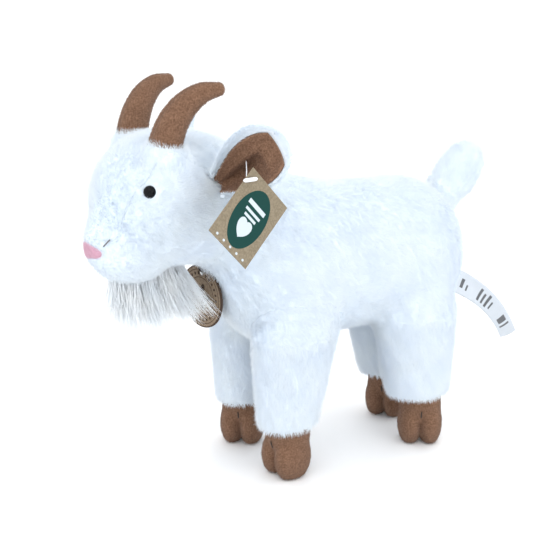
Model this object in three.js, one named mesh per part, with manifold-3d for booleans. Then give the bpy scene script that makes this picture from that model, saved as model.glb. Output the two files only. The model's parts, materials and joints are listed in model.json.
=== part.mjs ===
// Stuffed plush goat, standing on four cloven hooves, about 26 cm tall.
// Millimetres, +Z up, nose towards -Y, the goat's own left side towards +X.
// The origin is the bottom centre of the bounding box.
import * as THREE from 'three';
import { mergeVertices } from 'three/addons/utils/BufferGeometryUtils.js';
import Module from 'manifold-3d';

const wasm = await Module();
wasm.setup();

// ---- driving dimensions ----
const PLUSH = 2.5;            // backing plus flattened pile of the white plush
const FELT = 1.6;             // brown short-pile fabric
const GAP = 0.35;             // between pieces that touch
const SWEEP_GAP = 0.7;        // extra room around a piece that moves

const BODY = { radius: 47, width: 0.92, length: 84, y: 1, z: 134 };
const NECK = { y: -66, z: 160, rx: 31, ry: 30, rz: 31 };
const SKULL = { y: -121, z: 184, rx: 42.5, ry: 45, rz: 41 };
const SNOUT = { y: -141, z: 169, rx: 30, ry: 30, rz: 27.5 };
const MUZZLE = { y: -150, z: 158.5, rx: 22, ry: 21.5, rz: 18.5 };
const NECK_BALL = { y: -84, z: 172, rx: 30, ry: 29.5, rz: 29.5 };
const TAIL = { pivot: [0, 80, 167], tip: [0, 101, 192], radius: 12.8 };

const LEGS = {
  front_left: { hip: [26, -48, 106], foot: [29.5, -54.5, 34], top: [19.5, 29.5], cuff: [16.5, 19.5], yaw: 12 },
  front_right: { hip: [-26, -52, 106], foot: [-31, -58, 35], top: [19.5, 29], cuff: [16.5, 19], yaw: 50 },
  rear_left: { hip: [25, 47, 106], foot: [26, 53, 37], top: [19.5, 30], cuff: [17.5, 22], yaw: 60 },
  rear_right: { hip: [-25, 51, 106], foot: [-25, 59, 35], top: [19.5, 28], cuff: [16.5, 19], yaw: 38 },
};
const LEG_SWING = 12;
const LEG_ROOM = 2.4;          // the leg's flat facets reach this far out as they turn
const HIP_DEPTH = 22;          // from the hip axis down to the lowest part of the body around it
const HOOF = {
  lobe: 7.0, rx: 8.3, ry: 13.2, toe: 0.8, middle: 14, round: 16.5,
  ankle: 13.6, ankleTall: 16, ankleDrop: 5, sole: 2.4, web: [5, 8, 5],
};
const CLEFT_STITCH = { thick: 0.9, half: 3, below: 9 };
const HEAD_NOD = [-15, 5];
const NECK_ROOM = 2.2;
const TAIL_BEND = 25;
const TAIL_ROOM = 1.2;
const HORN_FLEX = 8;
const EAR_FLOP = { up: 20, down: 8 };

const HORN_LINE = [
  [28, -133.5, 214], [28.5, -133, 224], [30, -130.5, 235],
  [32.5, -124.5, 245], [35.5, -115.5, 250.5], [39, -105, 251.5],
];
const HORN_RADII = [9.8, 9.6, 9.0, 8.0, 6.5, 4.6];

const EAR = {
  root: [38, -103, 197], along: [0.65, 0.51, 0.55], face: [0.72, -0.68, 0.15],
  length: 48, halfWidth: 20, rootWidth: 0.42, widest: 0.6, rootCurl: 1.75, tipCurl: 0.7,
};
const EYE = {
  x: 35.4, y: -145.2, z: 196.4, facing: [0.86, -0.47, 0.18], dome: 4.2, flat: 0.7, stand: 1.0,
  post: 1.4, postLength: 13, washer: 5.5, washerAt: -9.2, washerThick: 1.2,
};
const GUSSET = { bottom: 166, half: 20, spread: 26, tall: 74, front: -200, back: -96 };
const CHIN = { half: 13, front: -160, back: -112, top: 150 };
const BELLY = { half: 17, front: -70, back: 80, top: 112 };
const NOSE = { y: -172, z: 158.5, half: 13.5, deep: 10, tall: 5.8, thick: 1.4 };
const NOSTRIL = { x: 20.7, y: -166.5, z: 166, long: 2.8, wide: 0.8, tilt: -1.03, lean: 0.45, thick: 1.2 };
const CARD = {
  width: 35.7, length: 43.3, thick: 0.8, facing: 104.75,
  hole: [79.5, -104.3, 207.2], holeRadius: 1.6, up: [-15.6, 15.1],
};
const PIN = { radius: 0.45, bar: 7, barRadius: 0.9, clear: 1.6, sag: 1.5, ear: [55.8, -94.6, 213.2] };
const MEDALLION = {
  radius: 20.5, thick: 1.6, facing: 15, hang: [-4, -98.5, 137.5], drop: 19, hole: 2.6, holeDown: 3.0,
};
const LOOP = { ring: 3.5, wire: 0.55, stretch: 1.5, back: 3.0, up: 0.2 };
const BEARD = { rootY: [-155, -124], tipY: [-156, -113], rootZ: 137, tipZ: 99, thick: 8 };
const LABEL = {
  root: [4, 90, 109], width: 20, length: 76, thick: 1.0, droop: 24, turn: 18, twist: 72, untwist: 40, wander: 4,
};

// ---- colours ----
const WHITE = { color: 0xf3f6fb, roughness: 0.95, metalness: 0 };
const BROWN = { color: 0x8a5a3c, roughness: 0.9, metalness: 0 };
const FILLING = { color: 0xe9e6dc, roughness: 1.0, metalness: 0 };
const PINK = { color: 0xf3a9b8, roughness: 0.9, metalness: 0 };
const BLACK = { color: 0x0c0c0e, roughness: 0.12, metalness: 0 };
const CARDBOARD = { color: 0xb99a67, roughness: 0.8, metalness: 0 };
const WASHER = { color: 0xd8d8d4, roughness: 0.5, metalness: 0 };
const THREAD = { color: 0x4a3a2e, roughness: 0.8, metalness: 0 };
const SATIN = { color: 0xf4f6f8, roughness: 0.4, metalness: 0 };
const NYLON = { color: 0xeef0f2, roughness: 0.3, metalness: 0 };

// ---- solids ----
function facesOut(positions, triangles) {
  // six times the enclosed volume, positive when the faces point outwards
  let sum = 0;
  const corner = (i) => new THREE.Vector3().fromArray(positions, triangles[i] * 3);
  for (let i = 0; i < triangles.length; i += 3) {
    sum += corner(i).dot(corner(i + 1).cross(corner(i + 2)));
  }
  return sum > 0;
}

function solid(geometry) {
  const g = geometry.clone();
  g.deleteAttribute('normal');
  g.deleteAttribute('uv');
  const merged = mergeVertices(g, 1e-4);
  const vertProperties = new Float32Array(merged.attributes.position.array);
  const triVerts = new Uint32Array(merged.index.array);
  if (!facesOut(vertProperties, triVerts)) triVerts.reverse();
  return new wasm.Manifold(new wasm.Mesh({ numProp: 3, vertProperties, triVerts }));
}

function geometryOf(manifold) {
  const mesh = manifold.getMesh();
  const g = new THREE.BufferGeometry();
  g.setAttribute('position', new THREE.BufferAttribute(new Float32Array(mesh.vertProperties), 3));
  g.setIndex(new THREE.BufferAttribute(new Uint32Array(mesh.triVerts), 1));
  g.computeVertexNormals();
  return g;
}

function largest(manifold) {
  let best = null;
  for (const piece of manifold.decompose()) {
    if (best === null || piece.volume() > best.volume()) best = piece;
  }
  return best;
}

const parts = new THREE.Group();

function add(name, manifold, look) {
  const mesh = new THREE.Mesh(geometryOf(largest(manifold)), new THREE.MeshStandardMaterial(look));
  mesh.name = name;
  parts.add(mesh);
  return mesh;
}

function ellipsoid(x, y, z, rx, ry, rz, across = 12, up = 7) {
  const g = new THREE.SphereGeometry(1, across, up);
  g.rotateX(Math.PI / 2);
  g.scale(rx, ry, rz);
  g.translate(x, y, z);
  return solid(g);
}

function block(x0, x1, y0, y1, z0, z1) {
  const g = new THREE.BoxGeometry(x1 - x0, y1 - y0, z1 - z0);
  g.translate((x0 + x1) / 2, (y0 + y1) / 2, (z0 + z1) / 2);
  return solid(g);
}

function mapped(nu, nv, nw, place) {
  // a box with nu by nv by nw cells whose corners (u, v, w in 0..1) are moved by place()
  const g = new THREE.BoxGeometry(1, 1, 1, nu, nv, nw);
  const p = g.attributes.position;
  for (let i = 0; i < p.count; i += 1) {
    const q = place(p.getX(i) + 0.5, p.getY(i) + 0.5, p.getZ(i) + 0.5);
    p.setXYZ(i, q.x, q.y, q.z);
  }
  return solid(g);
}

function union(list) {
  let all = list[0];
  for (let i = 1; i < list.length; i += 1) all = all.add(list[i]);
  return all;
}

function turned(manifold, pivot, axis, degrees) {
  const m = new THREE.Matrix4();
  m.makeRotationAxis(new THREE.Vector3(...axis).normalize(), THREE.MathUtils.degToRad(degrees));
  const to = new THREE.Matrix4().makeTranslation(...pivot);
  const from = new THREE.Matrix4().makeTranslation(-pivot[0], -pivot[1], -pivot[2]);
  const full = to.multiply(m).multiply(from);
  return manifold.transform(full.elements);
}

function swept(manifold, pivot, axis, angles) {
  return union(angles.map((angle) => turned(manifold, pivot, axis, angle)));
}

// a tapered tube along a list of centres: rings of a cylinder moved onto the curve, with domed ends
function taperedTube(points, radii, grow, sides = 8, steps = 6) {
  const curve = new THREE.CatmullRomCurve3(points.map((p) => new THREE.Vector3(...p)));
  const caps = 2;
  const g = new THREE.SphereGeometry(1, sides, steps + 2 * caps);
  const p = g.attributes.position;
  const frames = curve.computeFrenetFrames(steps, false);
  const rows = steps + 2 * caps;
  for (let i = 0; i < p.count; i += 1) {
    const row = Math.round((Math.acos(THREE.MathUtils.clamp(p.getY(i), -1, 1)) / Math.PI) * rows);
    const angle = Math.atan2(p.getZ(i), p.getX(i));
    const step = THREE.MathUtils.clamp(row - caps, 0, steps);
    const t = step / steps;
    const k = t * (radii.length - 1);
    const j = Math.min(Math.floor(k), radii.length - 2);
    const r = radii[j] + (radii[j + 1] - radii[j]) * (k - j) + grow;
    const beyond = row < caps ? -(1 - row / caps) : Math.max(0, (row - caps - steps) / caps);
    const lift = Math.sin((Math.abs(beyond) * Math.PI) / 2) * Math.sign(beyond) * r;
    const ring = Math.cos((Math.abs(beyond) * Math.PI) / 2) * r;
    const centre = curve.getPoint(t);
    const side = frames.normals[step].clone().multiplyScalar(Math.cos(angle) * ring);
    const up = frames.binormals[step].clone().multiplyScalar(Math.sin(angle) * ring);
    const ahead = frames.tangents[step].clone().multiplyScalar(lift);
    const q = centre.add(side).add(up).add(ahead);
    p.setXYZ(i, q.x, q.y, q.z);
  }
  return solid(g);
}

// ---- outer shapes, each with an amount to grow or shrink by ----
function bodyShape(grow) {
  const g = new THREE.CapsuleGeometry(BODY.radius + grow, BODY.length, 4, 16);
  g.scale(BODY.width, 1, 1);
  g.translate(0, BODY.y, BODY.z);
  const neck = ellipsoid(0, NECK.y, NECK.z, NECK.rx + grow, NECK.ry + grow, NECK.rz + grow);
  return solid(g).add(neck);
}

function headShape(grow) {
  return union([SKULL, SNOUT, MUZZLE, NECK_BALL].map((s) =>
    ellipsoid(0, s.y, s.z, s.rx + grow, s.ry + grow, s.rz + grow, 14, 8)));
}

function legDome(leg, grow) {
  const [hx, hy, hz] = leg.hip;
  return ellipsoid(hx, hy, hz, leg.top[0] + grow, leg.top[1] + grow, leg.top[1] + grow, 12, 6);
}

function legCone(leg, grow) {
  const g = new THREE.CylinderGeometry(1, 1, 1, 12, 1);
  g.rotateX(Math.PI / 2);
  const p = g.attributes.position;
  for (let i = 0; i < p.count; i += 1) {
    const low = p.getZ(i) < 0;
    const [rx, ry] = low ? leg.cuff : leg.top;
    const [cx, cy, cz] = low ? leg.foot : leg.hip;
    const z = low ? cz - Math.abs(grow) : cz;
    p.setXYZ(i, cx + p.getX(i) * (rx + grow), cy + p.getY(i) * (ry + grow), z);
  }
  return solid(g);
}

function legShape(leg, grow) {
  return legDome(leg, grow).add(legCone(leg, grow));
}

function hoofShape(leg, grow) {
  const [fx, fy] = leg.foot;
  const lobes = [-1, 1].map((s) =>
    ellipsoid(s * HOOF.lobe, -HOOF.toe, HOOF.middle,
      HOOF.rx + grow, HOOF.ry + grow, HOOF.round + grow, 10, 6));
  const ankleZ = leg.foot[2] - HOOF.ankleDrop;
  const ankle = ellipsoid(0, 0, ankleZ, HOOF.ankle + grow, HOOF.ankle + grow, HOOF.ankleTall + grow, 10, 6);
  const top = ankle.intersect(block(-30, 30, -30, 30, HOOF.middle, 60));
  const web = ellipsoid(0, 2, 0, ...HOOF.web, 6, 4);
  const flesh = grow < 0 ? [...lobes, top] : [...lobes, top, web];
  const whole = union(flesh).subtract(block(-30, 30, -30, 30, -30, 0));
  return turned(whole, [0, 0, 0], [0, 0, 1], leg.yaw).translate([fx, fy, 0]);
}

// ---- ear: a leaf-shaped shell curled into a cup ----
function earFrame(side) {
  const along = new THREE.Vector3(...EAR.along).normalize();
  const face = new THREE.Vector3(...EAR.face);
  face.addScaledVector(along, -face.dot(along)).normalize();
  const across = new THREE.Vector3().crossVectors(face, along);
  const mirror = (v) => new THREE.Vector3(v.x * side, v.y, v.z);
  return { along: mirror(along), face: mirror(face), across: mirror(across) };
}

function earHalfWidth(u) {
  const { rootWidth, widest } = EAR;
  if (u < widest) return EAR.halfWidth * (rootWidth + (1 - rootWidth) * Math.sin(((u / widest) * Math.PI) / 2));
  return EAR.halfWidth * Math.sqrt(1 - ((u - widest) / (1.03 - widest)) ** 2);
}

function earShell(side, front, back) {
  const axes = earFrame(side);
  const root = new THREE.Vector3(EAR.root[0] * side, EAR.root[1], EAR.root[2]);
  const place = (u, v, w) => {
    const half = earHalfWidth(u);
    const curl = EAR.rootCurl + (EAR.tipCurl - EAR.rootCurl) * u;
    const radius = half / curl;
    const angle = (2 * v - 1) * curl;
    const depth = back + (front - back) * w;
    const q = root.clone().addScaledVector(axes.along, EAR.length * u);
    q.addScaledVector(axes.across, (radius - depth) * Math.sin(angle));
    q.addScaledVector(axes.face, radius - (radius - depth) * Math.cos(angle));
    return q;
  };
  return mapped(7, 8, 1, place);
}

// ================= assembly =================
const sides = { left: 1, right: -1 };
const axisX = [1, 0, 0];
const axisY = [0, 1, 0];

const headOuter = headShape(0);
const legOuter = {};
for (const [name, leg] of Object.entries(LEGS)) legOuter[name] = legShape(leg, 0);
const tailLine = [TAIL.pivot, TAIL.tip];
const tailMiddle = tailLine[0].map((c, i) => (c + tailLine[1][i]) / 2);
const tailPoints = [tailLine[0], tailMiddle, tailLine[1]];
const tailRadii = [TAIL.radius, TAIL.radius, TAIL.radius - 1];

// The neck and the leg tops are round about their own swing axes, so one copy of them clears a whole
// swing. What stands beyond them is cut at its limits and at rest.
function ballOf(s, grow) {
  return ellipsoid(0, s.y, s.z, s.rx + grow, s.ry + grow, s.rz + grow, 14, 8);
}

const skullRoom = swept(
  ellipsoid(0, SKULL.y, SKULL.z, SKULL.rx + NECK_ROOM, SKULL.ry + NECK_ROOM, SKULL.rz + NECK_ROOM, 10, 6),
  [0, NECK_BALL.y, NECK_BALL.z], axisX, HEAD_NOD);

function legRoom(leg) {
  const reach = LEG_ROOM + Math.sin(THREE.MathUtils.degToRad(LEG_SWING)) * HIP_DEPTH;
  const [rx, ry] = leg.top;
  const room = { ...leg, top: [rx + LEG_ROOM, ry + reach], cuff: [rx + LEG_ROOM, ry + reach] };
  return legDome(leg, LEG_ROOM).add(legCone(room, 0));
}

const bodyPocket = union([
  ballOf(NECK_BALL, NECK_ROOM),
  skullRoom,
  ...Object.values(LEGS).map(legRoom),
  swept(taperedTube(tailPoints, tailRadii, TAIL_ROOM, 8, 1), TAIL.pivot, axisX, [-TAIL_BEND, 0, TAIL_BEND]),
]);

function buildBody() {
  const skin = bodyShape(0).subtract(bodyShape(-PLUSH)).subtract(bodyPocket);
  const belly = (d) => block(
    -BELLY.half - d, BELLY.half + d, BELLY.front - d, BELLY.back + d, 60, BELLY.top + d);
  const bellyRoom = belly(GAP);
  add('belly_panel', skin.intersect(belly(0)), WHITE);
  for (const [name, s] of Object.entries(sides)) {
    const half = s > 0 ? block(GAP / 2, 90, -200, 200, 0, 300) : block(-90, -GAP / 2, -200, 200, 0, 300);
    add(`body_${name}_panel`, skin.intersect(half).subtract(bellyRoom), WHITE);
  }
  add('body_stuffing', bodyShape(-PLUSH - GAP).subtract(bodyPocket), FILLING);
}

// ---- horns ----
function hornLine(side) {
  return HORN_LINE.map(([x, y, z]) => [x * side, y, z]);
}

function hornSolid(side, grow) {
  return taperedTube(hornLine(side), HORN_RADII, grow, 10, 6);
}

// only the root of a horn lies inside the head, so the pocket follows its first stretch
const hornPocket = union(Object.values(sides).map((s) => {
  const root = taperedTube(hornLine(s).slice(0, 3), HORN_RADII.slice(0, 3), SWEEP_GAP, 10, 1);
  return swept(root, hornLine(s)[0], axisX, [-HORN_FLEX, HORN_FLEX]);
}));

function buildHorn(name, side) {
  const skin = hornSolid(side, 0).subtract(hornSolid(side, -FELT));
  const [rootX, rootY] = HORN_LINE[0];
  const [tipX, tipY] = HORN_LINE[HORN_LINE.length - 1];
  const lean = (y) => side * (rootX + (tipX - rootX) * ((y - rootY) / (tipY - rootY)));
  const slab = (x0, x1) => mapped(1, 6, 1, (u, v, w) => {
    const y = -160 + 80 * v;
    const mid = lean(Math.max(y, rootY));
    return new THREE.Vector3(mid + x0 + (x1 - x0) * u, y, 190 + 80 * w);
  });
  const outward = side > 0 ? slab(GAP / 2, 40) : slab(-40, -GAP / 2);
  const inward = side > 0 ? slab(-40, -GAP / 2) : slab(GAP / 2, 40);
  add(`${name}_horn_outer_panel`, skin.intersect(outward), BROWN);
  add(`${name}_horn_inner_panel`, skin.intersect(inward), BROWN);
  add(`${name}_horn_stuffing`, hornSolid(side, -FELT - GAP), FILLING);
}

// ---- head ----
function eyeAxis(side) {
  const [x, y, z] = EYE.facing;
  return new THREE.Vector3(side * x, y, z).normalize();
}

function alongAxis(geometry, side, offset) {
  // a shape drawn about +Y is turned onto the eye's axis and moved offset millimetres outwards
  const axis = eyeAxis(side);
  const turn = new THREE.Quaternion().setFromUnitVectors(new THREE.Vector3(0, 1, 0), axis);
  geometry.applyQuaternion(turn);
  geometry.translate(side * EYE.x + axis.x * offset, EYE.y + axis.y * offset, EYE.z + axis.z * offset);
  return solid(geometry);
}

function eyeSolid(side, grow) {
  const dome = new THREE.SphereGeometry(EYE.dome + grow, 12, 7);
  dome.scale(1, EYE.flat, 1);
  const post = new THREE.CylinderGeometry(EYE.post + grow, EYE.post + grow, EYE.postLength, 8);
  return alongAxis(dome, side, EYE.stand).add(alongAxis(post, side, -EYE.postLength / 2));
}

function washerSolid(side) {
  const outline = new THREE.Shape();
  outline.absarc(0, 0, EYE.washer, 0, 2 * Math.PI);
  const hole = new THREE.Path();
  hole.absarc(0, 0, EYE.post + GAP, 0, 2 * Math.PI);
  outline.holes.push(hole);
  const g = new THREE.ExtrudeGeometry(outline, {
    depth: EYE.washerThick, bevelEnabled: false, curveSegments: 7,
  });
  g.rotateX(-Math.PI / 2);
  return alongAxis(g, side, EYE.washerAt);
}

function noseSolid() {
  const out = union([SNOUT, MUZZLE].map((s) => ballOf(s, GAP + NOSE.thick)));
  const under = headShape(GAP);
  return out.subtract(under).intersect(ellipsoid(0, NOSE.y, NOSE.z, NOSE.half, NOSE.deep, NOSE.tall, 12, 8));
}

function nostrilSolid(side) {
  const raised = headShape(GAP + NOSTRIL.thick).subtract(headShape(GAP));
  const needle = new THREE.CylinderGeometry(1, 1, 14, 8);
  needle.scale(NOSTRIL.long, 1, NOSTRIL.wide);
  needle.rotateY(NOSTRIL.tilt);
  needle.rotateZ(NOSTRIL.lean);
  needle.scale(side, 1, 1);
  needle.translate(side * NOSTRIL.x, NOSTRIL.y, NOSTRIL.z);
  return raised.intersect(solid(needle));
}

function buildHead() {
  const inner = headShape(-PLUSH);
  const earRoom = union(Object.values(sides).map((s) =>
    swept(earShell(s, FELT + SWEEP_GAP, -PLUSH - SWEEP_GAP), [EAR.root[0] * s, EAR.root[1], EAR.root[2]],
      axisY, [-EAR_FLOP.up * s, 0, EAR_FLOP.down * s])));
  const eyeRoom = union(Object.values(sides).map((s) => eyeSolid(s, GAP)));
  const washerRoom = union(Object.values(sides).map((s) => {
    const g = new THREE.CylinderGeometry(EYE.washer + GAP, EYE.washer + GAP, 16, 10);
    return alongAxis(g, s, EYE.washerAt + 7.4);
  }));
  const skin = headOuter.subtract(inner).subtract(hornPocket).subtract(earRoom).subtract(eyeRoom);
  const forehead = (d) => mapped(1, 1, 1, (u, v, w) => new THREE.Vector3(
    (2 * u - 1) * (GUSSET.half + d + GUSSET.spread * w),
    GUSSET.front + (GUSSET.back - GUSSET.front + d) * v,
    GUSSET.bottom - d + GUSSET.tall * w));
  const chin = (d) => block(-CHIN.half - d, CHIN.half + d, CHIN.front - d, CHIN.back + d, 120, CHIN.top + d);
  add('forehead_gusset', skin.intersect(forehead(0)), WHITE);
  add('chin_panel', skin.intersect(chin(0)).subtract(forehead(GAP)), WHITE);
  for (const [name, s] of Object.entries(sides)) {
    const half = s > 0 ? block(GAP / 2, 90, -200, 0, 100, 300) : block(-90, -GAP / 2, -200, 0, 100, 300);
    add(`head_${name}_panel`, skin.intersect(half).subtract(forehead(GAP)).subtract(chin(GAP)), WHITE);
    add(`${name}_eye`, eyeSolid(s, 0), BLACK);
    add(`${name}_eye_washer`, washerSolid(s), WASHER);
    add(`${name}_nostril_stitch`, nostrilSolid(s), THREAD);
    add(`${name}_ear_back`, earShell(s, -GAP, -PLUSH), WHITE);
    add(`${name}_ear_lining`, earShell(s, FELT, 0), BROWN);
  }
  const filling = headShape(-PLUSH - GAP).subtract(hornPocket).subtract(eyeRoom).subtract(washerRoom);
  add('head_stuffing', filling.subtract(earRoom), FILLING);
  add('nose_patch', noseSolid(), PINK);
}

// ---- legs: plush sleeve, stuffing, hoof cover, sole and the stitch in the cleft ----
function buildLeg(name, leg) {
  const [fx, fy, hem] = leg.foot;
  const below = (z) => block(-90, 90, -150, 150, -20, z);
  const above = (z) => block(-90, 90, -150, 150, z, 300);
  const sleeve = legShape(leg, 0).subtract(legShape(leg, -PLUSH));
  add(`${name}_leg_sleeve`, sleeve.subtract(below(hem)), WHITE);
  const hoof = hoofShape(leg, 0);
  const cover = hoof.subtract(hoofShape(leg, -FELT));
  add(`${name}_hoof_cover`, cover.subtract(above(hem - GAP)).subtract(below(HOOF.sole + GAP)), BROWN);
  add(`${name}_hoof_sole`, hoof.intersect(below(HOOF.sole)), BROWN);
  const thigh = legShape(leg, -PLUSH - GAP).subtract(below(hem - GAP));
  const plug = hoofShape(leg, -FELT - GAP).subtract(below(HOOF.sole + GAP)).subtract(above(hem));
  add(`${name}_leg_stuffing`, thigh.add(plug), FILLING);
  const { thick, half, below: under } = CLEFT_STITCH;
  const stitch = ellipsoid(0, -HOOF.ankle - 0.6, hem - under, thick, thick, half, 8, 6);
  const placed = turned(stitch, [0, 0, 0], [0, 0, 1], leg.yaw).translate([fx, fy, 0]);
  add(`${name}_cleft_stitch`, placed.subtract(hoofShape(leg, GAP)), THREAD);
}

// ---- tail ----
function buildTail() {
  const tube = (grow) => taperedTube(tailPoints, tailRadii, grow, 10, 1);
  const mouth = turned(block(-6, 6, 74, 86, 140, 166), TAIL.pivot, axisX, -42);
  add('tail_cover', tube(0).subtract(tube(-PLUSH)).subtract(mouth), WHITE);
  add('tail_stuffing', tube(-PLUSH - GAP), FILLING);
}

// ---- beard: a fan of long hair, drawn from the side ----
function buildBeard() {
  const place = (u, v, w) => {
    const y0 = BEARD.rootY[0] + (BEARD.rootY[1] - BEARD.rootY[0]) * u;
    const y1 = BEARD.tipY[0] + (BEARD.tipY[1] - BEARD.tipY[0]) * u;
    const bow = 8 * Math.sin(Math.PI * u);
    const half = (BEARD.thick / 2) * (0.35 + 0.65 * Math.sin(Math.PI * (0.15 + 0.7 * u))) * (1 - 0.5 * v);
    const z = BEARD.rootZ - (BEARD.rootZ - BEARD.tipZ + bow * 0.4) * v;
    return new THREE.Vector3((2 * w - 1) * half, y0 + (y1 - y0) * v, z);
  };
  const fan = mapped(8, 4, 1, place);
  const clear = headShape(GAP + 0.3);
  add('beard_tuft', fan.subtract(clear), WHITE);
}

// ---- swing tag: kraft card hung by a corner on a plastic tag pin through the ear ----
function cardPlate() {
  const half = { w: CARD.width / 2, l: CARD.length / 2 };
  const outline = new THREE.Shape();
  outline.moveTo(-half.w, -half.l);
  outline.lineTo(half.w, -half.l);
  outline.lineTo(half.w, half.l);
  outline.lineTo(-half.w, half.l);
  outline.closePath();
  const [hx, hy] = CARD.up;
  const lean = Math.atan2(hx, hy);
  const hole = new THREE.Path();
  hole.absarc(hx, hy, CARD.holeRadius, 0, 2 * Math.PI);
  outline.holes.push(hole);
  const g = new THREE.ExtrudeGeometry(outline, { depth: CARD.thick, bevelEnabled: false, curveSegments: 8 });
  g.translate(-hx, -hy, -CARD.thick / 2);
  g.rotateZ(lean);
  g.rotateX(Math.PI / 2);
  g.rotateZ(THREE.MathUtils.degToRad(CARD.facing));
  g.translate(...CARD.hole);
  return solid(g);
}

function buildTag() {
  add('swing_tag_card', cardPlate(), CARDBOARD);
  const n = THREE.MathUtils.degToRad(CARD.facing);
  const out = new THREE.Vector3(Math.sin(n), -Math.cos(n), 0);
  const hole = new THREE.Vector3(...CARD.hole);
  const start = hole.clone().addScaledVector(out, PIN.clear);
  const behind = hole.clone().addScaledVector(out, -PIN.clear);
  const end = new THREE.Vector3(...PIN.ear);
  const between = behind.clone().lerp(end, 0.4);
  between.z += PIN.sag;
  const section = new THREE.Shape();
  section.absarc(0, 0, PIN.radius, 0, 2 * Math.PI);
  const filament = solid(new THREE.ExtrudeGeometry(section, {
    steps: 12,
    extrudePath: new THREE.CatmullRomCurve3([start, behind, between, end]),
    bevelEnabled: false,
    curveSegments: 3,
  }));
  const bar = new THREE.CapsuleGeometry(PIN.barRadius, PIN.bar, 2, 6);
  bar.rotateZ(Math.PI / 2);
  bar.rotateZ(n);
  bar.translate(start.x, start.y, start.z);
  add('tag_pin', filament.add(solid(bar)), NYLON);
}

// ---- medallion on its thread loop at the throat ----
function buildMedallion() {
  const outline = new THREE.Shape();
  outline.absarc(0, 0, MEDALLION.radius, 0, 2 * Math.PI);
  const hole = new THREE.Path();
  hole.absarc(0, MEDALLION.drop - MEDALLION.holeDown, MEDALLION.hole, 0, 2 * Math.PI);
  outline.holes.push(hole);
  const g = new THREE.ExtrudeGeometry(outline, {
    depth: MEDALLION.thick, bevelEnabled: false, curveSegments: 14,
  });
  g.translate(0, -MEDALLION.drop, -MEDALLION.thick / 2);
  g.rotateX(Math.PI / 2);
  g.rotateZ(THREE.MathUtils.degToRad(MEDALLION.facing));
  g.translate(...MEDALLION.hang);
  add('medallion_disc', solid(g), CARDBOARD);
  const [x, y, z] = MEDALLION.hang;
  const loop = new THREE.TorusGeometry(LOOP.ring, LOOP.wire, 6, 20);
  loop.rotateY(Math.PI / 2);
  loop.scale(1, LOOP.stretch, 1);
  loop.rotateZ(THREE.MathUtils.degToRad(MEDALLION.facing));
  loop.translate(x, y + LOOP.back, z + LOOP.up);
  add('medallion_loop', solid(loop), THREAD);
}

// ---- care label: a folded satin ribbon sewn into the rump seam ----
function buildLabel() {
  const radians = THREE.MathUtils.degToRad;
  const place = (u, v, w) => {
    const run = LABEL.length * u;
    const droop = radians(LABEL.droop + LABEL.turn * u);
    const twist = radians(LABEL.twist - LABEL.untwist * u);
    const across = new THREE.Vector3(Math.cos(twist), 0, Math.sin(twist));
    const normal = new THREE.Vector3(-Math.sin(twist), 0, Math.cos(twist));
    const q = new THREE.Vector3(...LABEL.root);
    q.x += LABEL.wander * Math.sin(3 * u);
    q.y += run * Math.cos(droop);
    q.z -= run * Math.sin(droop);
    q.addScaledVector(across, (v - 0.5) * LABEL.width);
    return q.addScaledVector(normal, (w - 0.5) * LABEL.thick);
  };
  add('care_label', mapped(10, 2, 1, place), SATIN);
}

buildBody();
buildHead();
for (const [name, side] of Object.entries(sides)) buildHorn(name, side);
for (const [name, leg] of Object.entries(LEGS)) buildLeg(name, leg);
buildTail();
buildBeard();
buildTag();
buildMedallion();
buildLabel();

// the bounding box's bottom centre goes to the origin
const box = new THREE.Box3().setFromObject(parts);
parts.position.set(-(box.min.x + box.max.x) / 2, -(box.min.y + box.max.y) / 2, -box.min.z);

const goat = new THREE.Group();
goat.add(parts);
goat.updateMatrixWorld(true);

export default goat;
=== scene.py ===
import json
import math

import bpy
import numpy as np
from mathutils import Matrix, Vector


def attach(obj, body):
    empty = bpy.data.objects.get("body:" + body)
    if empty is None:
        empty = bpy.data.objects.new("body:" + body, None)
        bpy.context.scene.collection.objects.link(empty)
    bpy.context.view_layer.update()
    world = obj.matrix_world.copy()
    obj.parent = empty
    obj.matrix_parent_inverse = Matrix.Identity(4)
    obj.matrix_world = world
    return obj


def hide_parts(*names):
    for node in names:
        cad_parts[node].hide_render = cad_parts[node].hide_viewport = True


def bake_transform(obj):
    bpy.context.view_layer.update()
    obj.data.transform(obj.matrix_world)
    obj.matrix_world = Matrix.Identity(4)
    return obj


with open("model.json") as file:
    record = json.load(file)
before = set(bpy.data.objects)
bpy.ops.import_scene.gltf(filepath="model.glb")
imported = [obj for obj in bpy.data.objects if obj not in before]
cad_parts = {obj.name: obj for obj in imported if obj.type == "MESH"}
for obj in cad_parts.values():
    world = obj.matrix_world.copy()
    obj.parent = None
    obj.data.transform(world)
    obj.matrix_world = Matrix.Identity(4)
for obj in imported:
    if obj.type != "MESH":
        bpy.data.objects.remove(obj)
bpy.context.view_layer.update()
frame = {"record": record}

# ---- where things are ----
# Shapes are written in millimetres about a point on the ground below the goat's middle.
# The head joint stands at NECK_PIVOT in those terms, and it says where the row frame is.
NECK_PIVOT = np.array([0.0, -84.0, 172.0])
JOINTS = {j["name"]: j for j in frame["record"]["behaviour"]["joints"]}
SHIFT = np.array(JOINTS["head_nod"]["pos_m"]) * 1000 - NECK_PIVOT


def metres(points):
    return (np.asarray(points, float) + SHIFT) / 1000


def unit(v):
    v = np.asarray(v, float)
    return v / np.maximum(np.linalg.norm(v, axis=-1, keepdims=True), 1e-12)


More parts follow.
